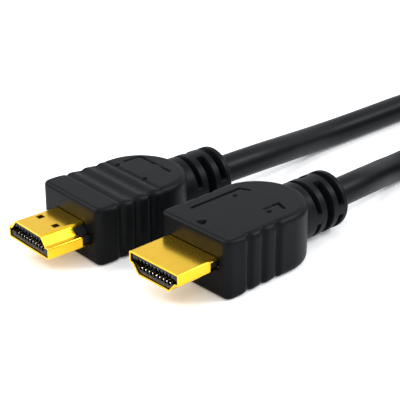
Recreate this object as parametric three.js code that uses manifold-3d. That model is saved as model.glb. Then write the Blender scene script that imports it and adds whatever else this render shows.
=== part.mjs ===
// Audio and video cable with the same flat nineteen-contact plug on both ends, in millimetres.
// Both plugs lie on the surface z = 0, with the cable running back from each into one coil.
// A plug is drawn pointing along +X with its wide face up, its grip's front face at x = 0 and
// the cable's axis on the X axis. It is then turned and placed.

import * as THREE from "three";
import { mergeVertices } from "three/addons/utils/BufferGeometryUtils.js";
import Module from "manifold-3d";

const wasm = await Module();
wasm.setup();

// Shell: folded sheet metal, wide on one face and narrowed by two slopes on the other
const shellWidth = 13.9;
const shellHeight = 4.45;
const shellMetal = 0.35;
const shellBend = 0.5;
const shellReach = 10.1;
const shellRoot = 4;
const narrowFace = 8.9;
const sideWall = 2.55;
const sideLedge = 0.9;
const windowSize = 1.45;
const windowSpacing = 5.28;
const windowFromGrip = 5.34;
const sideNotchReach = 2;
const slopeNotchRadius = 1.25;
const slopeNotchFromGrip = 1.7;
const slopeNotchInset = 0.2;
const slopeNotchDrop = 1;

// Grip and its strain relief: one moulding
const gripWidth = 20;
const gripThickness = 12.6;
const gripStraight = 17.6;
const frontTaper = 0.5;
const taperLength = 4;
const gripCorner = 1.5;
const gripEdge = 0.9;
const grooveCount = 3;
const grooveFirst = 5.3;
const groovePitch = 3.95;
const grooveDepth = 0.45;
const grooveRadius = 1;
const waveCount = 3;
const waveFirst = 6.9;
const wavePitch = 3.8;
const waveDepth = 0.25;
const reliefDiameter = 12.4;
const reliefLength = 10.8;
const reliefEdge = 0.8;
const slotCount = 3;
const slotFirst = 1.8;
const slotPitch = 3.3;
const slotWidth = 1.3;
const slotFloor = 0.9;
const webHalfAngle = 14;

// Carrier: the plastic block inside the shell, and its contacts
const carrierRecess = 0.6;
const tongueGap = 1.3;
const tongueDepth = 7.5;
const contactPitch = 1;
const contactCount = 19;
const contactWidth = 0.45;
const contactMetal = 0.2;
const contactStand = 0.15;
const contactEndGap = 0.4;
const channelWidth = 0.7;
const channelDepth = 0.5;
const channelClearance = 0.1;

// Cable, coil and the clearance between pieces that fit together
const cableDiameter = 6.3;
const cableSides = 10;
const coilInnerRadius = 24.9;
const coilOuterRadius = 37.5;
const coilHeight = 25.3;
const coilPlace = [115.5, 44.2];
const fit = 0.3;

// How far a cutting shape runs past what it cuts
const overrun = 1;

// Where each plug's front face lies, the way it points and which face is up
const leftPlug = { side: "left", place: [-22.47, -1.86], heading: 40.4, wideFaceUp: false };
const rightPlug = { side: "right", place: [2.33, -15.84], heading: 43.1, wideFaceUp: true };

// The free stretches, from each strain relief to just short of the coil
const leftRoute = [
  [7.0, 23.22, 6.3], [10.28, 26.01, 6.3], [13.26, 28.68, 6.25], [16.17, 31.42, 6.1],
  [19.59, 35.12, 5.7], [22.88, 38.97, 5.15], [26.04, 42.97, 4.5], [29.27, 46.9, 3.9],
  [32.62, 50.67, 3.45], [36.23, 54.14, 3.25], [41.43, 58.83, 3.2], [47.4, 64.17, 3.2],
  [54.2, 70.22, 3.2], [59.38, 73.87, 3.2], [64.9, 76.44, 3.2], [70.78, 78.02, 3.2],
  [76.85, 78.55, 3.2], [85.5, 78.55, 3.2], [94.0, 78.55, 3.2],
];
const rightRoute = [
  [30.59, 10.6, 6.3], [33.73, 13.54, 6.3], [36.51, 16.42, 6.2], [39.02, 19.59, 5.8],
  [41.33, 22.98, 5.15], [43.5, 26.52, 4.45], [45.8, 29.91, 3.75], [47.65, 32.32, 3.35],
  [49.19, 34.04, 3.25], [53.38, 37.19, 3.6], [58.92, 39.49, 4.6], [64.88, 40.28, 5.95],
  [70.83, 39.49, 7.4], [76.8, 37.0, 8.8],
];

const gold = { color: 0xd8a23c, roughness: 0.22, metalness: 1 };
const blackPlastic = { color: 0x1d1f22, roughness: 0.55, metalness: 0 };
const blackJacket = { color: 0x18181a, roughness: 0.45, metalness: 0 };

// Closed solid from a geometry, for cutting and joining
function solidOf(geometry) {
  geometry.deleteAttribute("normal");
  geometry.deleteAttribute("uv");
  const merged = mergeVertices(geometry, 1e-4);
  const index = merged.index.array;
  const kept = [];
  for (let i = 0; i < index.length; i += 3) {
    const [a, b, c] = index.slice(i, i + 3);
    if (a !== b && b !== c && c !== a) kept.push(a, b, c);
  }
  const vertProperties = merged.attributes.position.array;
  const triVerts = new Uint32Array(kept);
  return new wasm.Manifold(new wasm.Mesh({ numProp: 3, vertProperties, triVerts }));
}

function geometryOf(solid) {
  const mesh = solid.getMesh();
  const geometry = new THREE.BufferGeometry();
  geometry.setAttribute("position", new THREE.BufferAttribute(mesh.vertProperties, 3));
  geometry.setIndex(new THREE.BufferAttribute(mesh.triVerts, 1));
  geometry.computeVertexNormals();
  return geometry;
}

// Bar along X whose section is drawn with Y across and Z up
function bar(section, from, to, curveSegments = 3) {
  const geometry = new THREE.ExtrudeGeometry(section, {
    depth: to - from, bevelEnabled: false, curveSegments,
  });
  const alongX = new THREE.Matrix4().makeBasis(
    new THREE.Vector3(0, 1, 0), new THREE.Vector3(0, 0, 1), new THREE.Vector3(1, 0, 0));
  geometry.applyMatrix4(alongX);
  geometry.translate(from, 0, 0);
  return solidOf(geometry);
}

function box(low, high) {
  const size = high.map((value, axis) => value - low[axis]);
  const geometry = new THREE.BoxGeometry(...size);
  geometry.translate(...low.map((value, axis) => value + size[axis] / 2));
  return solidOf(geometry);
}

function roundedShape(corners, cuts) {
  const shape = new THREE.Shape();
  corners.forEach((corner, i) => {
    const before = corners[(i + corners.length - 1) % corners.length];
    const after = corners[(i + 1) % corners.length];
    const inPoint = corner.clone().add(before.clone().sub(corner).setLength(cuts[i]));
    const outPoint = corner.clone().add(after.clone().sub(corner).setLength(cuts[i]));
    if (i === 0) shape.moveTo(inPoint.x, inPoint.y);
    else shape.lineTo(inPoint.x, inPoint.y);
    shape.quadraticCurveTo(corner.x, corner.y, outPoint.x, outPoint.y);
  });
  shape.closePath();
  return shape;
}

// The shell's outer outline, moved outwards by grow
function shellOutline(grow) {
  const run = shellWidth / 2 - sideLedge - narrowFace / 2;
  const lean = Math.atan2(run, shellHeight - sideWall);
  const slide = grow * (1 - Math.sin(lean)) / Math.cos(lean);
  const half = shellWidth / 2 + grow;
  const top = shellHeight / 2 + grow;
  const ledge = shellHeight / 2 - sideWall - grow;
  const ledgeY = shellWidth / 2 - sideLedge + slide;
  const narrow = narrowFace / 2 + slide;
  const limit = 0.4 * (half - ledgeY);
  const outer = Math.max(shellBend + grow, 0.1);
  const small = Math.min(outer, limit);
  const corners = [
    [-narrow, -top], [narrow, -top], [ledgeY, ledge], [half, ledge],
    [half, top], [-half, top], [-half, ledge], [-ledgeY, ledge],
  ].map(([y, z]) => new THREE.Vector2(y, z));
  return roundedShape(corners, [outer, outer, limit, small, outer, outer, small, limit]);
}

function makeShell() {
  const outer = bar(shellOutline(0), -shellRoot, shellReach);
  const inner = bar(shellOutline(-shellMetal), -shellRoot - overrun, shellReach + overrun);
  let shell = outer.subtract(inner);
  const top = shellHeight / 2;
  const deep = shellMetal + 2 * shellBend;
  for (const side of [-1, 1]) {
    const y = side * windowSpacing / 2;
    const half = windowSize / 2;
    const window = box([windowFromGrip - half, y - half, -top - overrun],
      [windowFromGrip + half, y + half, -top + deep]);
    const sideIn = shellWidth / 2 - sideLedge;
    const wall = box([-fit, Math.min(side * sideIn, side * shellWidth), top - sideWall - shellBend],
      [sideNotchReach, Math.max(side * sideIn, side * shellWidth), top - 2 * shellBend]);
    const round = new THREE.CylinderGeometry(slopeNotchRadius, slopeNotchRadius, shellWidth / 2, 20);
    const notchY = side * (narrowFace / 2 + shellWidth / 4 + slopeNotchInset);
    round.translate(slopeNotchFromGrip, notchY, top - sideWall - slopeNotchDrop);
    shell = shell.subtract(window).subtract(wall).subtract(solidOf(round));
  }
  return geometryOf(shell);
}

function gripPlan() {
  const half = gripWidth / 2;
  const front = half - frontTaper;
  const plan = new THREE.Shape();
  plan.moveTo(0, -front + gripCorner);
  plan.lineTo(0, front - gripCorner);
  plan.quadraticCurveTo(0, front, -gripCorner, front + frontTaper * gripCorner / taperLength);
  plan.lineTo(-taperLength, half);
  plan.lineTo(-gripStraight, half);
  plan.absarc(-gripStraight, 0, half, Math.PI / 2, Math.PI * 3 / 2, false);
  plan.lineTo(-taperLength, -half);
  plan.lineTo(-gripCorner, -front - frontTaper * gripCorner / taperLength);
  plan.quadraticCurveTo(0, -front, 0, -front + gripCorner);
  return plan;
}

function makeReliefSolid() {
  const start = -gripStraight;
  const end = -gripStraight - gripWidth / 2 - reliefLength;
  const radius = reliefDiameter / 2;
  const profile = [new THREE.Vector2(0, end), new THREE.Vector2(radius - reliefEdge, end)];
  for (const angle of [30, 60, 90]) {
    const a = THREE.MathUtils.degToRad(angle);
    const inset = reliefEdge * (1 - Math.sin(a));
    const lift = reliefEdge * (1 - Math.cos(a));
    profile.push(new THREE.Vector2(radius - inset, end + lift));
  }
  profile.push(new THREE.Vector2(radius, start), new THREE.Vector2(0, start));
  const geometry = new THREE.LatheGeometry(profile, 32);
  geometry.rotateZ(-Math.PI / 2);
  return solidOf(geometry);
}

// Two ring sectors that open a slot on both sides of the relief, leaving two webs
function slotCut(center, middleAngle) {
  const floor = cableDiameter / 2 + slotFloor;
  const outer = reliefDiameter / 2 + overrun;
  const web = THREE.MathUtils.degToRad(webHalfAngle);
  const sectors = [0, Math.PI].map((turn) => {
    const from = middleAngle + turn - Math.PI / 2 + web;
    const to = middleAngle + turn + Math.PI / 2 - web;
    const sector = new THREE.Shape();
    sector.absarc(0, 0, outer, from, to, false);
    sector.absarc(0, 0, floor, to, from, true);
    sector.closePath();
    return bar(sector, center - slotWidth / 2, center + slotWidth / 2, 10);
  });
  return sectors[0].add(sectors[1]);
}

function makeGrip() {
  const geometry = new THREE.ExtrudeGeometry(gripPlan(), {
    depth: gripThickness - 2 * gripEdge, bevelEnabled: true, bevelThickness: gripEdge,
    bevelSize: gripEdge, bevelOffset: -gripEdge, bevelSegments: 3, curveSegments: 14,
  });
  geometry.translate(0, 0, -gripThickness / 2 + gripEdge);
  let grip = solidOf(geometry).add(makeReliefSolid());
  grip = grip.subtract(bar(shellOutline(fit), -shellRoot - fit, overrun));
  for (let i = 0; i < grooveCount; i += 1) {
    for (const side of [-1, 1]) {
      const groove = new THREE.CylinderGeometry(grooveRadius, grooveRadius, gripThickness + 2 * overrun, 12);
      groove.rotateX(Math.PI / 2);
      const middle = gripWidth / 2 + grooveRadius - grooveDepth;
      groove.translate(-grooveFirst - i * groovePitch, side * middle, 0);
      grip = grip.subtract(solidOf(groove));
    }
  }
  // Each trough between two waves is the chord of a wide round bar across the narrow side
  const waveRadius = (wavePitch * wavePitch / 4 + waveDepth * waveDepth) / (2 * waveDepth);
  for (let i = 0; i < waveCount + 1; i += 1) {
    const trough = new THREE.CylinderGeometry(waveRadius, waveRadius, gripWidth + 2 * overrun, 96);
    trough.translate(-waveFirst - (i - 0.5) * wavePitch, 0, -gripThickness / 2 - waveRadius + waveDepth);
    grip = grip.subtract(solidOf(trough));
  }
  const reliefStart = -gripStraight - gripWidth / 2;
  for (let i = 0; i < slotCount; i += 1) {
    const middleAngle = i % 2 === 0 ? Math.PI / 2 : 0;
    grip = grip.subtract(slotCut(reliefStart - slotFirst - i * slotPitch, middleAngle));
  }
  return geometryOf(grip);
}

// Contact 1 to 10 lie on the wide side, the rest between them on the narrow side
function contactPlace(i) {
  const wideCount = Math.ceil(contactCount / 2);
  const onWide = i < wideCount;
  const count = onWide ? wideCount : contactCount - wideCount;
  const step = onWide ? i : i - wideCount;
  return { lip: onWide ? 1 : -1, y: (step - (count - 1) / 2) * contactPitch };
}

function makeCarrier() {
  const front = shellReach - carrierRecess;
  const end = front - tongueDepth;
  let carrier = bar(shellOutline(-shellMetal - fit), -shellRoot, front);
  const halfGap = tongueGap / 2;
  carrier = carrier.subtract(box([end, -shellWidth, -halfGap], [front + overrun, shellWidth, halfGap]));
  for (let i = 0; i < contactCount; i += 1) {
    const { lip, y } = contactPlace(i);
    const deep = lip * (tongueGap / 2 + channelDepth);
    carrier = carrier.subtract(box([end, y - channelWidth / 2, Math.min(0, deep)],
      [front + overrun, y + channelWidth / 2, Math.max(0, deep)]));
  }
  return geometryOf(carrier);
}

// Side view of a contact: a flat strip whose front part bows into the tongue gap
function makeContact(lip) {
  const front = shellReach - carrierRecess;
  const back = front - tongueDepth + contactEndGap;
  const tip = front - contactEndGap;
  const far = tongueGap / 2 + channelDepth - channelClearance - contactMetal / 2;
  const near = tongueGap / 2 - contactStand + contactMetal / 2;
  const line = new THREE.SplineCurve([
    new THREE.Vector2(back, far), new THREE.Vector2(back + (tip - back) * 0.35, far),
    new THREE.Vector2(back + (tip - back) * 0.8, near), new THREE.Vector2(tip, (near + far) / 2),
  ]);
  const points = line.getPoints(8);
  const shift = (amount) => points.map((p) => new THREE.Vector2(p.x, lip * (p.y + amount)));
  const outline = [...shift(contactMetal / 2), ...shift(-contactMetal / 2).reverse()];
  const geometry = new THREE.ExtrudeGeometry(new THREE.Shape(outline), {
    depth: contactWidth, bevelEnabled: false,
  });
  geometry.rotateX(Math.PI / 2);
  geometry.translate(0, contactWidth / 2, 0);
  return geometry;
}

function makeTube(route) {
  const path = new THREE.CatmullRomCurve3(route.map((p) => new THREE.Vector3(...p)));
  const section = [];
  for (let i = 0; i < cableSides; i += 1) {
    const angle = 2 * Math.PI * i / cableSides;
    section.push(new THREE.Vector2(Math.cos(angle), Math.sin(angle)).multiplyScalar(cableDiameter / 2));
  }
  return new THREE.ExtrudeGeometry(new THREE.Shape(section), {
    steps: Math.ceil(path.getLength() / (2 * cableDiameter)), extrudePath: path, bevelEnabled: false,
  });
}

function makeCoil() {
  const round = cableDiameter / 2;
  const corners = [
    [coilInnerRadius, 0], [coilOuterRadius, 0], [coilOuterRadius, coilHeight], [coilInnerRadius, coilHeight],
  ].map(([r, z]) => new THREE.Vector2(r, z));
  const profile = roundedShape(corners, corners.map(() => round)).getPoints(3);
  if (profile[0].distanceTo(profile[profile.length - 1]) > 1e-6) profile.push(profile[0].clone());
  const geometry = new THREE.LatheGeometry(profile, 40);
  geometry.rotateX(Math.PI / 2);
  geometry.translate(...coilPlace, 0);
  return geometry;
}

function named(name, geometry, finish) {
  const mesh = new THREE.Mesh(geometry, new THREE.MeshStandardMaterial(finish));
  mesh.name = name;
  return mesh;
}

function makePlug({ side, place, heading, wideFaceUp }) {
  const plug = new THREE.Group();
  plug.position.set(...place, gripThickness / 2);
  plug.rotation.z = Math.PI + THREE.MathUtils.degToRad(heading);
  const turned = new THREE.Group();
  turned.rotation.x = wideFaceUp ? 0 : Math.PI;
  turned.add(named(`${side}_grip`, makeGrip(), blackPlastic));
  turned.add(named(`${side}_shell`, makeShell(), gold));
  turned.add(named(`${side}_carrier`, makeCarrier(), blackPlastic));
  for (let i = 0; i < contactCount; i += 1) {
    const { lip, y } = contactPlace(i);
    const number = String(i + 1).padStart(2, "0");
    const contact = named(`${side}_contact_${number}`, makeContact(lip), gold);
    contact.position.y = y;
    turned.add(contact);
  }
  plug.add(turned);
  return plug;
}

const cable = new THREE.Group();
cable.add(makePlug(leftPlug));
cable.add(makePlug(rightPlug));
cable.add(named("cable_left", makeTube(leftRoute), blackJacket));
cable.add(named("cable_right", makeTube(rightRoute), blackJacket));
cable.add(named("cable_coil", makeCoil(), blackJacket));

export default cable;
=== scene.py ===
import math

import bmesh
import bpy
import numpy as np
from mathutils import Matrix, Vector


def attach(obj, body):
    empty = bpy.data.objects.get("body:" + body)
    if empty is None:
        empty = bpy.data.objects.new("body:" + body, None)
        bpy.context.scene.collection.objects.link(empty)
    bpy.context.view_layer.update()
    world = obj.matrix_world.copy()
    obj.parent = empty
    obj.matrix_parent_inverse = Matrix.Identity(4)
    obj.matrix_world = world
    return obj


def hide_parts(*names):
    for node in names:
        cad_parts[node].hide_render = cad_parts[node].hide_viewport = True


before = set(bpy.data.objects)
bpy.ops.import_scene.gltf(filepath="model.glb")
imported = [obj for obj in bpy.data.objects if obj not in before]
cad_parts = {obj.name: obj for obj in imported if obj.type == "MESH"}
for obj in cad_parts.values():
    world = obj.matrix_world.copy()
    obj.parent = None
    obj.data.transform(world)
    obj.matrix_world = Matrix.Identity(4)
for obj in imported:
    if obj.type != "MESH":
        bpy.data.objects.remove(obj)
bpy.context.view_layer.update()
mm = 0.001


# Small helpers for meshes

def makeObject(name, points, faces):
    mesh = bpy.data.meshes.new(name)
    mesh.from_pydata([tuple(p) for p in points], [], [tuple(int(i) for i in f) for f in faces])
    obj = bpy.data.objects.new(name, mesh)
    bpy.context.scene.collection.objects.link(obj)
    return obj


def tidyMesh(obj, distance=1e-6):
    # welds what meets, drops slivers and turns the faces outwards
    bm = bmesh.new()
    bm.from_mesh(obj.data)
    bmesh.ops.remove_doubles(bm, verts=bm.verts, dist=distance)
    bmesh.ops.dissolve_degenerate(bm, edges=bm.edges, dist=distance)
    bmesh.ops.recalc_face_normals(bm, faces=bm.faces)
    bm.to_mesh(obj.data)
    bm.free()


def bakeModifiers(obj):
    evaluated = obj.evaluated_get(bpy.context.evaluated_depsgraph_get())
    mesh = bpy.data.meshes.new_from_object(evaluated)
    old = obj.data
    obj.modifiers.clear()
    obj.data = mesh
    bpy.data.meshes.remove(old)


def cutWith(obj, cutters):
    for cutter in cutters:
        cut = obj.modifiers.new("cut", "BOOLEAN")
        cut.operation = "DIFFERENCE"
        cut.solver = "EXACT"
        cut.object = cutter
    bpy.context.view_layer.update()
    bakeModifiers(obj)
    for cutter in cutters:
        bpy.data.objects.remove(cutter)


def softenEdges(obj, width, segments=2, angle=35):
    bevel = obj.modifiers.new("edges", "BEVEL")
    bevel.width = width
    bevel.segments = segments
    bevel.limit_method = "ANGLE"
    bevel.angle_limit = math.radians(angle)
    bevel.miter_outer = "MITER_ARC"
    bevel.use_clamp_overlap = True
    bakeModifiers(obj)


def smoothShade(obj, angle=40):
    obj.data.shade_smooth()
    obj.data.set_sharp_from_angle(angle=math.radians(angle))


def flattenShading(obj):
    # large faces keep their own normals, so that they mirror like flat metal
    obj.modifiers.new("normals", "WEIGHTED_NORMAL").keep_sharp = True
    bakeModifiers(obj)


def joinPieces(target, others):
    bm = bmesh.new()
    bm.from_mesh(target.data)
    for other in others:
        bm.from_mesh(other.data)
        bpy.data.objects.remove(other)
    bm.to_mesh(target.data)
    bm.free()


def prism(name, section, start, end):
    # section is a list of (y, z), start and end are along x
    count = len(section)
    points = [(x, y, z) for x in (start, end) for y, z in section]
    faces = [[i, (i + 1) % count, count + (i + 1) % count, count + i] for i in range(count)]
    faces += [list(range(count))[::-1], list(range(count, 2 * count))]
    obj = makeObject(name, points, faces)
    tidyMesh(obj)
    return obj


def block(name, low, high):
    corners = [(low[1], low[2]), (high[1], low[2]), (high[1], high[2]), (low[1], high[2])]
    return prism(name, corners, low[0], high[0])


# Shader maths: a wrapped socket whose operators add Math nodes

class Shade:
    def __init__(self, tree, socket):
        self.tree = tree
        self.socket = socket

    def maths(self, operation, *values):
        node = self.tree.nodes.new("ShaderNodeMath")
        node.operation = operation
        for place, value in enumerate((self, *values)):
            if isinstance(value, Shade):
                self.tree.links.new(value.socket, node.inputs[place])
            else:
                node.inputs[place].default_value = value
        return Shade(self.tree, node.outputs[0])

    def __add__(self, other):
        return self.maths("ADD", other)

    def __mul__(self, other):
        return self.maths("MULTIPLY", other)


class Finish:
    def __init__(self, name):
        self.material = bpy.data.materials.new(name)
        self.material.use_nodes = True
        self.tree = self.material.node_tree
        self.shader = self.tree.nodes["Principled BSDF"]
        self.coords = self.node("ShaderNodeTexCoord").outputs["Object"]

    def node(self, kind, settings=None, **sockets):
        made = self.tree.nodes.new(kind)
        for key, value in (settings or {}).items():
            setattr(made, key, value)
        for key, value in sockets.items():
            self.put(made.inputs[key.replace("_", " ")], value)
        return made

    def put(self, socket, value):
        if isinstance(value, Shade):
            value = value.socket
        if isinstance(value, bpy.types.NodeSocket):
            self.tree.links.new(value, socket)
        else:
            socket.default_value = value

    def noise(self, scale, detail=3, roughness=0.55):
        made = self.node("ShaderNodeTexNoise", None, Scale=scale, Detail=detail, Roughness=roughness,
                         Vector=self.coords)
        return Shade(self.tree, made.outputs["Fac"])

    def ramp(self, value, low, high):
        made = self.node("ShaderNodeMapRange", {"clamp": True}, Value=value, From_Min=low, From_Max=high)
        return Shade(self.tree, made.outputs["Result"])

    def mix(self, factor, first, second):
        made = self.node("ShaderNodeMix", {"data_type": "RGBA"})
        self.put(made.inputs[0], factor)
        self.put(made.inputs[6], first)
        self.put(made.inputs[7], second)
        return made.outputs[2]

    def bump(self, height, distance, strength=1.0):
        made = self.node("ShaderNodeBump", None, Height=height, Distance=distance, Strength=strength)
        self.put(self.shader.inputs["Normal"], made.outputs["Normal"])

    def set(self, **sockets):
        for key, value in sockets.items():
            self.put(self.shader.inputs[key.replace("_", " ")], value)
        return self.material


# Camera at the photograph's angle

cameraSpec = {
    "lens": 117.0,
    "sensor": 36.0,
    "place": (3.665 * mm, -236.62 * mm, 122.90 * mm),
    "target": (3.665 * mm, 22.456 * mm, 0.0),
}


def makeCamera(spec):
    data = bpy.data.cameras.new("camera")
    data.lens = spec["lens"]
    data.sensor_width = spec["sensor"]
    data.clip_start = 0.01
    camera = bpy.data.objects.new("camera", data)
    bpy.context.scene.collection.objects.link(camera)
    camera.location = spec["place"]
    look = Vector(spec["target"]) - Vector(spec["place"])
    camera.rotation_euler = look.to_track_quat("-Z", "Y").to_euler()
    bpy.context.scene.camera = camera


makeCamera(cameraSpec)
print("camera placed")


# Materials

def mouldedPlastic():
    f = Finish("mouldedPlastic")
    cloud = f.noise(90, 4)
    grain = f.noise(4200, 2)
    speck = f.noise(1500, 3)
    tint = f.mix(f.ramp(cloud, 0.35, 0.7), (0.0025, 0.003, 0.0036, 1), (0.005, 0.0056, 0.0064, 1))
    f.bump(grain * 0.6 + speck * 0.4, 0.00003, 0.45)
    return f.set(Base_Color=tint, Roughness=cloud * 0.12 + grain * 0.1 + 0.3, Specular_IOR_Level=0.07)


def cableJacket():
    f = Finish("cableJacket")
    cloud = f.noise(60, 4)
    grain = f.noise(2600, 2)
    tint = f.mix(f.ramp(cloud, 0.35, 0.7), (0.0025, 0.003, 0.0034, 1), (0.0048, 0.0055, 0.006, 1))
    f.bump(grain * 0.5 + cloud * 0.5, 0.00003, 0.3)
    return f.set(Base_Color=tint, Roughness=cloud * 0.1 + grain * 0.08 + 0.3, Specular_IOR_Level=0.1)


def goldPlate():
    f = Finish("goldPlate")
    cloud = f.noise(160, 4)
    mottle = f.noise(900, 3)
    rub = f.noise(2600, 3)
    tone = f.ramp(cloud * 0.5 + mottle * 0.5, 0.35, 0.65)
    tint = f.mix(tone, (0.92, 0.54, 0.02, 1), (0.96, 0.59, 0.035, 1))
    f.bump(mottle * 0.6 + rub * 0.4, 0.000012, 0.5)
    return f.set(Base_Color=tint, Metallic=1.0, Roughness=cloud * 0.1 + rub * 0.08 + 0.1)


def contactPlate():
    f = Finish("contactPlate")
    rub = f.noise(3000, 3)
    tint = f.mix(rub, (0.86, 0.74, 0.5, 1), (0.92, 0.84, 0.66, 1))
    return f.set(Base_Color=tint, Metallic=1.0, Roughness=rub * 0.15 + 0.18)


def carrierPlastic():
    f = Finish("carrierPlastic")
    cloud = f.noise(700, 3)
    tint = f.mix(cloud, (0.004, 0.0042, 0.005, 1), (0.008, 0.0085, 0.01, 1))
    f.bump(f.noise(5000, 2), 0.00002, 0.4)
    return f.set(Base_Color=tint, Roughness=cloud * 0.15 + 0.36, Specular_IOR_Level=0.3)


finishes = {
    "moulding": mouldedPlastic(),
    "jacket": cableJacket(),
    "shell": goldPlate(),
    "contacts": contactPlate(),
    "carrier": carrierPlastic(),
}


def dress(obj, slotName, replaced):
    obj.data.materials.clear()
    obj.data.materials.append(finishes[slotName])
    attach(obj, "root")
    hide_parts(*replaced)


print("finishes made")


# The cable: one line from the left relief, round the coil and back to the right relief

cableSpec = {
    "diameter": 6.3,
    "length": 1700,
    "inRelief": 2.5,          # how far the jacket goes into the relief's mouth
    "step": 1.6,
    "sides": 24,
    "shadeAngle": 60,
    "perSpan": 8,             # line points between two route points, before they are spread evenly
    "leftRoute": [
        (7.0, 23.22, 6.3), (10.28, 26.01, 6.3), (13.26, 28.68, 6.25), (16.17, 31.42, 6.1),
        (19.59, 35.12, 5.7), (22.88, 38.97, 5.15), (26.04, 42.97, 4.5), (29.27, 46.9, 3.9),
        (32.62, 50.67, 3.45), (36.23, 54.14, 3.25), (41.43, 58.83, 3.2), (47.4, 64.17, 3.2),
        (54.2, 70.22, 3.2), (59.38, 73.87, 3.2), (64.9, 76.44, 3.2), (70.78, 78.02, 3.2),
        (76.85, 78.55, 3.2), (85.5, 78.55, 3.2), (94.0, 78.55, 3.2), (104.0, 78.55, 3.2),
    ],
    "rightRoute": [
        (30.59, 10.6, 6.3), (33.73, 13.54, 6.3), (36.51, 16.42, 6.2), (39.02, 19.59, 5.8),
        (41.33, 22.98, 5.15), (43.5, 26.52, 4.45), (45.8, 29.91, 3.75), (47.65, 32.32, 3.35),
        (49.19, 34.04, 3.25), (53.38, 37.19, 3.6), (58.92, 39.49, 4.6), (64.88, 40.28, 5.95),
        (70.83, 39.49, 7.4), (76.38, 37.19, 8.7), (81.14, 33.54, 9.4),
    ],
    "coilCentre": (115.5, 44.2),
    "coilStart": 90.0,
    "coilEnd": 208.0,
    "coilStep": 7.5,
    "turnRadii": {1: 34.35, 2: 28.05},
    "layerHeights": {1: 3.2, 2: 9.5, 3: 15.8, 4: 22.1},
    "turns": [(1, 1), (2, 1), (2, 2), (2, 3), (2, 4), (1, 4), (1, 3), (1, 2)],
    "changeOver": 80.0,       # the last degrees of a turn, in which the cable moves to its next place
}


def coilPoints(spec):
    points = []
    sweep = 360 * (len(spec["turns"]) - 1) + (spec["coilStart"] - spec["coilEnd"]) % 360
    count = int(sweep / spec["coilStep"])
    for i in range(count + 1):
        turned = sweep * i / count
        turn = min(int(turned // 360), len(spec["turns"]) - 1)
        column, layer = spec["turns"][turn]
        radius, height = spec["turnRadii"][column], spec["layerHeights"][layer]
        if turn + 1 < len(spec["turns"]):
            share = (turned - 360 * turn - (360 - spec["changeOver"])) / spec["changeOver"]
            share = min(max(share, 0), 1)
            share = share * share * (3 - 2 * share)
            nextColumn, nextLayer = spec["turns"][turn + 1]
            radius += share * (spec["turnRadii"][nextColumn] - radius)
            height += share * (spec["layerHeights"][nextLayer] - height)
        angle = math.radians(spec["coilStart"] - turned)
        points.append((spec["coilCentre"][0] + radius * math.cos(angle),
                       spec["coilCentre"][1] + radius * math.sin(angle), height))
    return points


def throughPoints(points, step, perSpan):
    # Catmull-Rom line through the points, at even steps
    p = np.array(points, float)
    p = np.vstack([2 * p[0] - p[1], p, 2 * p[-1] - p[-2]])
    line = []
    for i in range(1, len(p) - 2):
        knots = [0.0]
        for k in range(3):
            knots.append(knots[-1] + np.linalg.norm(p[i + k] - p[i + k - 1]) ** 0.5)
        for t in np.linspace(knots[1], knots[2], perSpan, endpoint=False):
            a = [(knots[k + 1] - t) / (knots[k + 1] - knots[k]) * p[i - 1 + k]
                 + (t - knots[k]) / (knots[k + 1] - knots[k]) * p[i + k] for k in range(3)]
            b = [(knots[k + 2] - t) / (knots[k + 2] - knots[k]) * a[k]
                 + (t - knots[k]) / (knots[k + 2] - knots[k]) * a[k + 1] for k in range(2)]
            share = (t - knots[1]) / (knots[2] - knots[1])
            line.append((1 - share) * b[0] + share * b[1])
    line.append(p[-2])
    line = np.array(line)
    along = np.concatenate([[0], np.cumsum(np.linalg.norm(np.diff(line, axis=0), axis=1))])
    even = np.linspace(0, along[-1], int(along[-1] / step) + 1)
    return np.stack([np.interp(even, along, line[:, k]) for k in range(3)], axis=1), along[-1]


def sweepTree(spec):
    # Geometry Nodes: a round section swept along the piece's own line
    tree = bpy.data.node_groups.new("cableSweep", "GeometryNodeTree")
    face = tree.interface
    face.new_socket(name="Geometry", in_out="INPUT", socket_type="NodeSocketGeometry")
    face.new_socket(name="Radius", in_out="INPUT", socket_type="NodeSocketFloat")
    face.new_socket(name="Sides", in_out="INPUT", socket_type="NodeSocketInt")
    face.new_socket(name="Finish", in_out="INPUT", socket_type="NodeSocketMaterial")
    face.new_socket(name="Geometry", in_out="OUTPUT", socket_type="NodeSocketGeometry")
    give, take = tree.nodes.new("NodeGroupInput"), tree.nodes.new("NodeGroupOutput")
    toCurve = tree.nodes.new("GeometryNodeMeshToCurve")
    circle = tree.nodes.new("GeometryNodeCurvePrimitiveCircle")
    sweep = tree.nodes.new("GeometryNodeCurveToMesh")
    smooth = tree.nodes.new("GeometryNodeSetShadeSmooth")
    realize = tree.nodes.new("GeometryNodeRealizeInstances")
    paint = tree.nodes.new("GeometryNodeSetMaterial")
    links = [
        (give.outputs["Geometry"], toCurve.inputs["Mesh"]),
        (toCurve.outputs["Curve"], sweep.inputs["Curve"]),
        (give.outputs["Radius"], circle.inputs["Radius"]),
        (give.outputs["Sides"], circle.inputs["Resolution"]),
        (circle.outputs["Curve"], sweep.inputs["Profile Curve"]),
        (sweep.outputs["Mesh"], smooth.inputs["Geometry"]),
        (smooth.outputs["Geometry"], realize.inputs["Geometry"]),
        (realize.outputs["Geometry"], paint.inputs["Geometry"]),
        (give.outputs["Finish"], paint.inputs["Material"]),
        (paint.outputs["Geometry"], take.inputs["Geometry"]),
    ]
    for start, end in links:
        tree.links.new(start, end)
    sweep.inputs["Fill Caps"].default_value = True
    return tree


def runTree(obj, tree, values):
    modifier = obj.modifiers.new("nodes", "NODES")
    modifier.node_group = tree
    for item in tree.interface.items_tree:
        if item.in_out == "INPUT" and item.name in values:
            modifier[item.identifier] = values[item.name]
    bpy.context.view_layer.update()
    bakeModifiers(obj)


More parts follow.
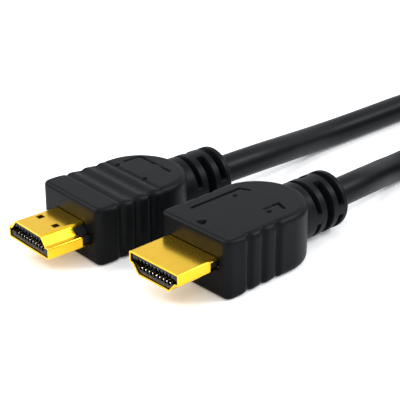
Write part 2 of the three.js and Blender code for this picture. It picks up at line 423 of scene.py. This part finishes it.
def makeCable(spec):
    left, right = spec["leftRoute"], spec["rightRoute"]

    def mouth(route):
        first, second = Vector(route[0]), Vector(route[1])
        return tuple(first - (second - first).normalized() * spec["inRelief"])

    points = [mouth(left), *left, *coilPoints(spec), *reversed(right), mouth(right)]
    line, length = throughPoints(points, spec["step"], spec["perSpan"])
    print("cable line", round(length, 1), "mm")
    obj = makeObject("cable", line * mm, [])
    obj.data.edges.add(len(line) - 1)
    obj.data.edges.foreach_set("vertices", [k for i in range(len(line) - 1) for k in (i, i + 1)])
    runTree(obj, sweepTree(spec), {"Radius": spec["diameter"] / 2 * mm, "Sides": spec["sides"],
                                   "Finish": finishes["jacket"]})
    tidyMesh(obj)
    smoothShade(obj, spec["shadeAngle"])
    dress(obj, "jacket", ["cable_left", "cable_right", "cable_coil"])


makeCable(cableSpec)
print("cable laid")


# Plug places, as in the frame: each plug is made pointing along x, wide face up, then placed

plugSpecs = {
    "left": {"place": (-22.47, -1.86), "heading": 40.4, "wideFaceUp": False},
    "right": {"place": (2.33, -15.84), "heading": 43.1, "wideFaceUp": True},
}
axisHeight = 6.3


def plugMatrix(spec):
    move = Matrix.Translation(Vector((*spec["place"], axisHeight)) * mm)
    turn = Matrix.Rotation(math.pi + math.radians(spec["heading"]), 4, "Z")
    flip = Matrix.Rotation(0 if spec["wideFaceUp"] else math.pi, 4, "X")
    return move @ turn @ flip @ Matrix.Scale(mm, 4)


# Shell: a folded metal tube with its notches and two windows

shellSpec = {
    "width": 13.9, "height": 4.45, "metal": 0.35, "bend": 0.5, "reach": 10.1, "root": 3.9,
    "narrowFace": 8.9, "sideWall": 2.55, "sideLedge": 0.9, "bendSteps": 6,
    "windowSize": 1.45, "windowSpacing": 5.28, "windowFromGrip": 5.34, "windowDepth": 1.05,
    "sideNotch": 2.0, "sideNotchLip": 0.4, "sideNotchRoot": 3.0,
    "slopeNotchRadius": 1.25, "slopeNotchFromGrip": 1.7, "slopeNotchDrop": 1.0, "slopeNotchInset": 0.2,
    "slopeNotchRoot": 1.5, "slopeNotchSteps": 17,
    "edge": 0.1, "smallestBend": 0.1, "ledgeBend": 0.4, "overrun": 1.0, "shadeAngle": 32,
}


def roundCorners(corners, cuts, steps):
    points = []
    for i, corner in enumerate(corners):
        before, after = corners[i - 1], corners[(i + 1) % len(corners)]
        a, b, c = np.array(before, float), np.array(corner, float), np.array(after, float)
        start = b + (a - b) / np.linalg.norm(a - b) * cuts[i]
        end = b + (c - b) / np.linalg.norm(c - b) * cuts[i]
        for t in np.linspace(0, 1, steps + 1):
            points.append(tuple((1 - t) ** 2 * start + 2 * t * (1 - t) * b + t * t * end))
    return points


def shellOutline(spec, grow):
    run = spec["width"] / 2 - spec["sideLedge"] - spec["narrowFace"] / 2
    lean = math.atan2(run, spec["height"] - spec["sideWall"])
    slide = grow * (1 - math.sin(lean)) / math.cos(lean)
    half, top = spec["width"] / 2 + grow, spec["height"] / 2 + grow
    ledge = spec["height"] / 2 - spec["sideWall"] - grow
    ledgeY = spec["width"] / 2 - spec["sideLedge"] + slide
    narrow = spec["narrowFace"] / 2 + slide
    limit = spec["ledgeBend"] * (half - ledgeY)
    outer = max(spec["bend"] + grow, spec["smallestBend"])
    small = min(outer, limit)
    corners = [(-narrow, -top), (narrow, -top), (ledgeY, ledge), (half, ledge),
               (half, top), (-half, top), (-half, ledge), (-ledgeY, ledge)]
    cuts = [outer, outer, limit, small, outer, outer, small, limit]
    return roundCorners(corners, cuts, spec["bendSteps"])


def makeShell(side, spec):
    top = spec["height"] / 2
    shell = prism(side + "Shell", shellOutline(spec, 0), -spec["root"], spec["reach"])
    over = spec["overrun"]
    cutters = [prism("bore", shellOutline(spec, -spec["metal"]), -spec["root"] - over, spec["reach"] + over)]
    for sign in (-1, 1):
        y, half = sign * spec["windowSpacing"] / 2, spec["windowSize"] / 2
        cutters.append(block("window", (spec["windowFromGrip"] - half, y - half, -top - over),
                             (spec["windowFromGrip"] + half, y + half, -top + spec["windowDepth"])))
        inner = spec["width"] / 2 - spec["sideLedge"]
        ends = sorted((sign * inner, sign * spec["width"]))
        low = top - spec["sideWall"] - spec["bend"]
        cutters.append(block("sideNotch", (-spec["sideNotchRoot"], ends[0], low),
                             (spec["sideNotch"], ends[1], top - spec["sideNotchLip"])))
        ring = [(spec["slopeNotchFromGrip"] + spec["slopeNotchRadius"] * math.cos(a),
                 top - spec["sideWall"] - spec["slopeNotchDrop"] + spec["slopeNotchRadius"] * math.sin(a))
                for a in np.linspace(-math.pi / 2, math.pi / 2, spec["slopeNotchSteps"])]
        # the notch is round in front and open towards the grip
        ring += [(-spec["slopeNotchRoot"], ring[-1][1]), (-spec["slopeNotchRoot"], ring[0][1])]
        inset = spec["narrowFace"] / 2 + spec["slopeNotchInset"]
        near, far = sorted((sign * inset, sign * spec["width"]))
        count = len(ring)
        points = [(x, y, z) for y in (near, far) for x, z in ring]
        faces = [[i, (i + 1) % count, count + (i + 1) % count, count + i] for i in range(count)]
        faces += [list(range(count)), list(range(count, 2 * count))]
        notch = makeObject("slopeNotch", points, faces)
        tidyMesh(notch)
        cutters.append(notch)
    cutWith(shell, cutters)
    tidyMesh(shell, 1e-4)
    softenEdges(shell, spec["edge"])
    shell.data.transform(plugMatrix(plugSpecs[side]))
    smoothShade(shell, spec["shadeAngle"])
    flattenShading(shell)
    dress(shell, "shell", [side + "_shell"])


# Grip: a flat moulding with a round back, soft edges, grooves and waves, and its strain relief

gripSpec = {
    "width": 20.0, "thickness": 12.6, "straight": 17.6, "frontTaper": 0.5, "taperLength": 4.0,
    "corner": 1.5, "frontEdge": 0.9, "sideEdge": 1.5, "edgeSteps": 9, "outlinePoints": 440, "faceRings": 60,
    "sideSteps": 14, "frontSteps": 40, "cornerSteps": 24, "backSteps": 80, "spineFront": -8.0,
    "pocketGap": 0.14, "pocketDepth": 4.2,
    "grooves": (-5.6, -9.4, -13.3), "grooveDepth": 0.65, "grooveWidth": 0.62,
    "grooveFacing": 0.9, "narrowRunOut": 0.2,
    "waveCrest": -6.9, "wavePitch": 3.8, "waveDepth": 0.34,
    "waveFrom": -5.0, "waveTo": -16.4, "waveFade": 0.8, "shadeAngle": 50,
    "lineDepth": 0.8, "lineWidth": 0.32, "lineFlat": 1.6, "lineSlope": 1.2,
    "dimpleRadius": 0.65, "dimpleDepth": 0.9, "dimpleSlope": 1.5,
    "wideLines": [
        [(-5.4, -6.2), (-18.6, -6.2), (-19.4, -4.3)],
        [(-15.3, 3.9), (-19.3, 3.9), (-18.5, 6.2)],
        [(-2.2, -0.9), (-2.2, 0.4), (-3.4, -0.25), (-2.2, -0.9)],
    ],
    "wideDimples": [(-15.5, -4.4), (-15.2, 5.3)],
    "narrowLines": [[(-18.8, 6.3), (-22.9, 6.3), (-22.7, -3.8)]],
    "narrowDimples": [(-16.5, 5.8), (-16.5, -3.5)],
}


def gripOutline(spec):
    half = spec["width"] / 2
    front = half - spec["frontTaper"]
    c = spec["corner"]
    pull = spec["frontTaper"] * c / spec["taperLength"]
    side = [(0, y) for y in np.linspace(0, front - c, spec["frontSteps"])]
    for t in np.linspace(0, 1, spec["cornerSteps"])[1:]:
        out = (1 - t) ** 2 * (front - c) + 2 * t * (1 - t) * front + t * t * (front + pull)
        side.append((-(t * t) * c, out))
    side += [(-spec["taperLength"], half), (-spec["straight"], half)]
    for a in np.linspace(0, math.pi / 2, spec["backSteps"])[1:]:
        side.append((-spec["straight"] - half * math.sin(a), half * math.cos(a)))
    side = np.array(side)
    along = np.concatenate([[0], np.cumsum(np.linalg.norm(np.diff(side, axis=0), axis=1))])
    even = np.linspace(0, along[-1], spec["outlinePoints"] // 2 + 1)
    side = np.stack([np.interp(even, along, side[:, k]) for k in range(2)], axis=1)
    other = side[1:-1][::-1] * (1, -1)
    return np.vstack([side, other])


def nearLine(points, line):
    best = np.full(len(points), 1e9)
    for a, b in zip(line[:-1], line[1:]):
        a, b = np.array(a), np.array(b)
        t = np.clip(((points - a) @ (b - a)) / ((b - a) @ (b - a)), 0, 1)
        best = np.minimum(best, np.linalg.norm(points - (a + t[:, None] * (b - a)), axis=1))
    return best


def softStep(value):
    value = np.clip(value, 0, 1)
    return value * value * (3 - 2 * value)


def faceDepth(spec, points, lines, dimples, waves):
    depth = np.zeros(len(points))
    for line in lines:
        away = nearLine(points, line) / spec["lineWidth"]
        depth += spec["lineDepth"] * softStep(spec["lineFlat"] - away * spec["lineSlope"])
    for dimple in dimples:
        away = np.linalg.norm(points - np.array(dimple), axis=1) / spec["dimpleRadius"]
        depth += spec["dimpleDepth"] * softStep(spec["dimpleSlope"] * (1 - away))
    if waves:
        inside = (points[:, 0] < spec["waveFrom"]) & (points[:, 0] > spec["waveTo"])
        swing = 0.5 - 0.5 * np.cos(2 * math.pi * (points[:, 0] - spec["waveCrest"]) / spec["wavePitch"])
        ends = softStep((spec["waveFrom"] - points[:, 0]) / spec["waveFade"])
        ends *= softStep((points[:, 0] - spec["waveTo"]) / spec["waveFade"])
        depth += np.where(inside, swing * spec["waveDepth"] * ends, 0)
    return depth


def makeGripBody(side, spec):
    outline = gripOutline(spec)
    count = len(outline)
    along = np.roll(outline, -1, axis=0) - np.roll(outline, 1, axis=0)
    outward = np.stack([along[:, 1], -along[:, 0]], axis=1)
    outward /= np.linalg.norm(outward, axis=1)[:, None]
    dip = sum(np.exp(-((outline[:, 0] - x) / spec["grooveWidth"]) ** 2) for x in spec["grooves"])
    dip = dip * spec["grooveDepth"] * (np.abs(outward[:, 1]) > spec["grooveFacing"])
    half = spec["thickness"] / 2
    # the edge is tight round the front and softer along the sides and the back
    softer = softStep((-outline[:, 0] - spec["corner"]) / spec["taperLength"])
    edge = spec["frontEdge"] + softer * (spec["sideEdge"] - spec["frontEdge"])

    def edgeRing(angle, sign):
        # the grooves run out in the edge, fully on the wide side and in part on the narrow side
        left = 0 if sign > 0 else spec["narrowRunOut"]
        inset = edge * (1 - math.cos(angle)) + dip * (left + (1 - left) * math.cos(angle))
        flat = outline - outward * inset[:, None]
        return np.column_stack([flat, sign * (half - edge + edge * math.sin(angle))])

    def faceRings(sign, lines, dimples, waves):
        rim = edgeRing(math.pi / 2, sign)[:, :2]
        spine = np.zeros((count, 2))
        spine[:, 0] = np.clip(outline[:, 0], -spec["straight"], spec["spineFront"])
        made = []
        for k in range(1, spec["faceRings"] + 1):
            share = k / spec["faceRings"]
            flat = rim * (1 - share) + spine * share
            made.append(flat)
        allPoints = np.vstack(made)
        depth = faceDepth(spec, allPoints, lines, dimples, waves).reshape(len(made), count)
        return [np.column_stack([flat, sign * (half - d)]) for flat, d in zip(made, depth)]

    angles = np.linspace(0, math.pi / 2, spec["edgeSteps"] + 1)
    bottomFace = faceRings(-1, spec["narrowLines"], spec["narrowDimples"], True)
    topFace = faceRings(1, spec["wideLines"], spec["wideDimples"], False)
    rings = bottomFace[::-1]
    rings += [edgeRing(a, -1) for a in angles[::-1]]
    for t in np.linspace(0, 1, spec["sideSteps"] + 1)[1:-1]:
        ring = edgeRing(0, 1)
        ring[:, 2] = (half - edge) * (2 * t - 1)
        rings.append(ring)
    rings += [edgeRing(a, 1) for a in angles]
    rings += topFace
    # the waves bend the edge of the narrow face too
    for k in range(spec["edgeSteps"] + 1):
        ring = rings[len(bottomFace) + k]
        share = (1 - k / spec["edgeSteps"]) ** 2
        ring[:, 2] += share * faceDepth(spec, ring[:, :2], [], [], True)
    points = np.vstack(rings)
    faces = []
    for r in range(len(rings) - 1):
        for i in range(count):
            j = (i + 1) % count
            faces.append((r * count + i, r * count + j, (r + 1) * count + j, (r + 1) * count + i))
    obj = makeObject(side + "Grip", points, faces)
    tidyMesh(obj, 1e-4)
    return obj


reliefSpec = {
    "radius": 6.2, "start": -18.0, "end": -38.4, "edge": 0.8, "bore": 3.3, "boreDepth": 3.2,
    "floor": 4.05, "slots": [(-29.4, 1.0, 0), (-32.7, 1.7, 1), (-36.0, 1.3, 0)],
    "web": (12, 17), "soft": 0.22, "softAngle": 3.0, "around": 180,
    "sink": 8.0, "step": 0.3, "slotSteps": 7, "edgeSteps": 8, "boreLead": 0.12,
}


def makeRelief(side, spec):
    xs = set(np.arange(spec["start"] - spec["sink"], spec["end"] + spec["edge"], -spec["step"]).round(3))
    for centre, width, _ in spec["slots"]:
        for sign in (-1, 1):
            for off in np.linspace(-spec["soft"], spec["soft"], spec["slotSteps"]):
                xs.add(round(centre + sign * width / 2 + off, 3))
    xs = sorted((x for x in xs if x > spec["end"] + spec["edge"]), reverse=True)
    angles = np.linspace(0, 2 * math.pi, spec["around"], endpoint=False)
    full = np.full(spec["around"], spec["radius"])
    rows = [(spec["start"], full * 0), (spec["start"], full)]
    for x in xs:
        radius = full.copy()
        for centre, width, turned in spec["slots"]:
            within = softStep((width / 2 - abs(x - centre)) / (2 * spec["soft"]) + 0.5)
            # slots 1 and 3 open above and below, the middle one at the sides
            swing = np.degrees(np.arccos(np.clip(np.abs(np.sin(angles) if turned else np.cos(angles)), 0, 1)))
            opened = softStep((swing - spec["web"][turned]) / (2 * spec["softAngle"]) + 0.5)
            radius -= (spec["radius"] - spec["floor"]) * within * opened
        rows.append((x, radius))
    for a in np.linspace(0, math.pi / 2, spec["edgeSteps"]):
        rows.append((spec["end"] + spec["edge"] * (1 - math.sin(a)), full - spec["edge"] * (1 - math.cos(a))))
    bore = np.full(spec["around"], spec["bore"])
    lead = spec["boreLead"]
    rows += [(spec["end"], bore + lead), (spec["end"] + lead, bore), (spec["end"] + spec["boreDepth"], bore),
             (spec["end"] + spec["boreDepth"], bore * 0)]
    points = np.vstack([np.column_stack([np.full(spec["around"], x), r * np.cos(angles), r * np.sin(angles)])
                        for x, r in rows])
    count = spec["around"]
    faces = []
    for r in range(len(rows) - 1):
        for i in range(count):
            j = (i + 1) % count
            faces.append((r * count + i, r * count + j, (r + 1) * count + j, (r + 1) * count + i))
    obj = makeObject(side + "Relief", points, faces)
    tidyMesh(obj, 1e-4)
    return obj


def makeGrip(side):
    body = makeGripBody(side, gripSpec)
    outline = shellOutline(shellSpec, gripSpec["pocketGap"])
    cutWith(body, [prism("pocket", outline, -gripSpec["pocketDepth"], shellSpec["overrun"])])
    joinPieces(body, [makeRelief(side, reliefSpec)])
    body.data.transform(plugMatrix(plugSpecs[side]))
    smoothShade(body, gripSpec["shadeAngle"])
    dress(body, "moulding", [side + "_grip"])


# Carrier: a block with two lips, and a channel in a lip for each contact

carrierSpec = {
    "recess": 0.3, "gap": 1.3, "depth": 7.8, "channel": 0.7, "channelDepth": 0.5,
    "pitch": 1.0, "wideCount": 10, "narrowCount": 9, "clearance": 0.12, "edge": 0.05,
    "lipSlant": 0.15, "lipOverlap": 0.2, "slopeShare": 0.46, "shadeAngle": 30,
}


def lipSection(spec, outer, count, sign):
    # the comb-shaped section of one lip, from its left end to its right end and back over the outside
    half, low = outer[0], spec["gap"] / 2
    points = [(-half, low)]
    for i in range(count):
        y = (i - (count - 1) / 2) * spec["pitch"]
        a, b = y - spec["channel"] / 2, y + spec["channel"] / 2
        points += [(a, low), (a, low + spec["channelDepth"]), (b, low + spec["channelDepth"]), (b, low)]
    points += [(half, low), (outer[1], outer[2]), (-outer[1], outer[2])]
    return [(y, sign * z) for y, z in points]


def makeCarrier(side, spec, shell):
    grow = -shell["metal"] - spec["clearance"]
    front = shell["reach"] - spec["recess"]
    back = front - spec["depth"]
    body = prism(side + "Carrier", shellOutline(shell, grow), -shell["root"], back)
    top = shell["height"] / 2 + grow
    wide = shell["width"] / 2 + grow
    run = shell["width"] / 2 - shell["sideLedge"] - shell["narrowFace"] / 2
    lean = run / (shell["height"] - shell["sideWall"])
    narrow = shell["narrowFace"] / 2 + grow * spec["slopeShare"]
    lipBack = back - spec["lipOverlap"]
    lips = [
        prism("wideLip", lipSection(spec, (wide, wide - spec["lipSlant"], top), spec["wideCount"], 1),
              lipBack, front),
        prism("narrowLip", lipSection(spec, (narrow + lean * (top - spec["gap"] / 2), narrow, top),
                                      spec["narrowCount"], -1), lipBack, front),
    ]
    for lip in lips:
        softenEdges(lip, spec["edge"], 1)
    joinPieces(body, lips)
    body.data.transform(plugMatrix(plugSpecs[side]))
    smoothShade(body, spec["shadeAngle"])
    dress(body, "carrier", [side + "_carrier"])


# Contacts: rows of bowed strips, repeated by Geometry Nodes

contactSpec = {
    "width": 0.45, "metal": 0.18, "stand": 0.16, "seat": 0.12, "endGap": 0.35, "steps": 14,
    "riseFrom": 0.35, "riseOver": 0.4, "fallFrom": 0.82, "fallOver": 0.18, "fall": 0.55,
    "narrowFrom": 0.9, "narrowing": 0.35, "edge": 0.04, "shadeAngle": 30,
}


def makeStrip(carrier, contact, shell):
    front = shell["reach"] - carrier["recess"]
    back, tip = front - carrier["depth"] + contact["endGap"], front - contact["endGap"]
    far = carrier["gap"] / 2 + carrier["channelDepth"] - contact["seat"] - contact["metal"] / 2
    near = carrier["gap"] / 2 - contact["stand"] + contact["metal"] / 2
    points, faces = [], []
    for k in range(contact["steps"] + 1):
        t = k / contact["steps"]
        x = back + (tip - back) * t
        rise = softStep((t - contact["riseFrom"]) / contact["riseOver"])
        fall = softStep((t - contact["fallFrom"]) / contact["fallOver"])
        bow = rise * (1 - contact["fall"] * fall)
        z = far + (near - far) * bow
        taper = max(0, t - contact["narrowFrom"]) / (1 - contact["narrowFrom"])
        wide = contact["width"] / 2 * (1 - contact["narrowing"] * taper)
        for y, up in ((-wide, -1), (wide, -1), (wide, 1), (-wide, 1)):
            points.append((x, y, z + up * contact["metal"] / 2))
    for k in range(contact["steps"]):
        for i in range(4):
            j = (i + 1) % 4
            faces.append((4 * k + i, 4 * k + j, 4 * k + 4 + j, 4 * k + 4 + i))
    last = 4 * contact["steps"]
    faces += [(0, 1, 2, 3), (last, last + 1, last + 2, last + 3)]
    strip = makeObject("strip", points, faces)
    tidyMesh(strip)
    softenEdges(strip, contact["edge"], 1)
    return strip


def rowTree():
    tree = bpy.data.node_groups.new("contactRow", "GeometryNodeTree")
    face = tree.interface
    kinds = {"Geometry": "Geometry", "Count": "Int", "Pitch": "Float", "Finish": "Material"}
    for name, kind in kinds.items():
        face.new_socket(name=name, in_out="INPUT", socket_type="NodeSocket" + kind)
    face.new_socket(name="Geometry", in_out="OUTPUT", socket_type="NodeSocketGeometry")
    give, take = tree.nodes.new("NodeGroupInput"), tree.nodes.new("NodeGroupOutput")

    def maths(operation, first, second):
        node = tree.nodes.new("ShaderNodeMath")
        node.operation = operation
        for place, value in enumerate((first, second)):
            if isinstance(value, bpy.types.NodeSocket):
                tree.links.new(value, node.inputs[place])
            else:
                node.inputs[place].default_value = value
        return node.outputs[0]

    line = tree.nodes.new("GeometryNodeMeshLine")
    start, offset = tree.nodes.new("ShaderNodeCombineXYZ"), tree.nodes.new("ShaderNodeCombineXYZ")
    spread = maths("MULTIPLY", maths("SUBTRACT", give.outputs["Count"], 1.0), give.outputs["Pitch"])
    tree.links.new(maths("MULTIPLY", spread, -0.5), start.inputs["Y"])
    tree.links.new(give.outputs["Pitch"], offset.inputs["Y"])
    tree.links.new(start.outputs[0], line.inputs["Start Location"])
    tree.links.new(offset.outputs[0], line.inputs["Offset"])
    tree.links.new(give.outputs["Count"], line.inputs["Count"])
    repeat = tree.nodes.new("GeometryNodeInstanceOnPoints")
    realize = tree.nodes.new("GeometryNodeRealizeInstances")
    paint = tree.nodes.new("GeometryNodeSetMaterial")
    tree.links.new(line.outputs["Mesh"], repeat.inputs["Points"])
    tree.links.new(give.outputs["Geometry"], repeat.inputs["Instance"])
    tree.links.new(repeat.outputs["Instances"], realize.inputs["Geometry"])
    tree.links.new(realize.outputs["Geometry"], paint.inputs["Geometry"])
    tree.links.new(give.outputs["Finish"], paint.inputs["Material"])
    tree.links.new(paint.outputs["Geometry"], take.inputs["Geometry"])
    return tree


contactTree = rowTree()


def makeContacts(side, first, count, lip):
    strip = makeStrip(carrierSpec, contactSpec, shellSpec)
    strip.name = side + ("WideContacts" if lip > 0 else "NarrowContacts")
    runTree(strip, contactTree, {"Count": count, "Pitch": carrierSpec["pitch"],
                                 "Finish": finishes["contacts"]})
    if lip < 0:
        strip.data.transform(Matrix.Scale(-1, 4, (0, 0, 1)))
        strip.data.flip_normals()
    strip.data.transform(plugMatrix(plugSpecs[side]))
    smoothShade(strip, contactSpec["shadeAngle"])
    dress(strip, "contacts", [f"{side}_contact_{first + i:02d}" for i in range(count)])


for plugSide in plugSpecs:
    makeShell(plugSide, shellSpec)
    makeGrip(plugSide)
    makeCarrier(plugSide, carrierSpec, shellSpec)
    makeContacts(plugSide, 1, carrierSpec["wideCount"], 1)
    makeContacts(plugSide, 1 + carrierSpec["wideCount"], carrierSpec["narrowCount"], -1)
    print(plugSide, "plug made")


# Floor and soft studio light

stageSpec = {
    "floorSize": 4.0, "floorTone": (0.9, 0.9, 0.9, 1), "floorGlow": 0.16,
    "worldTone": (0.93, 0.97, 1.02, 1), "worldStrength": 1.0,
    "lamps": [
        {"place": (-0.2, 0.1, 0.9), "size": 0.8, "power": 2.4},
        {"place": (0.3, -0.5, 0.7), "size": 0.6, "power": 1.2},
        {"place": (0.62, 0.06, 0.52), "size": 0.22, "power": 3.2},
        {"place": (-0.62, 0.14, 0.5), "size": 0.22, "power": 3.0},
    ],
}


def makeStage(spec):
    half = spec["floorSize"] / 2
    corners = [(-half, -half, 0), (half, -half, 0), (half, half, 0), (-half, half, 0)]
    floor = makeObject("floor", corners, [(0, 1, 2, 3)])
    f = Finish("floorPaint")
    f.set(Base_Color=spec["floorTone"], Roughness=0.9, Specular_IOR_Level=0.1,
          Emission_Color=spec["floorTone"], Emission_Strength=spec["floorGlow"])
    floor.data.materials.append(f.material)
    world = bpy.data.worlds.new("studio")
    world.use_nodes = True
    world.node_tree.nodes["Background"].inputs["Color"].default_value = spec["worldTone"]
    world.node_tree.nodes["Background"].inputs["Strength"].default_value = spec["worldStrength"]
    bpy.context.scene.world = world
    for i, lamp in enumerate(spec["lamps"]):
        data = bpy.data.lights.new(f"softLamp{i}", "AREA")
        data.size = lamp["size"]
        data.energy = lamp["power"]
        obj = bpy.data.objects.new(f"softLamp{i}", data)
        bpy.context.scene.collection.objects.link(obj)
        obj.location = lamp["place"]
        obj.rotation_euler = (-Vector(lamp["place"])).to_track_quat("-Z", "Y").to_euler()


makeStage(stageSpec)
bpy.context.scene.view_settings.view_transform = "Standard"
print("stage set")
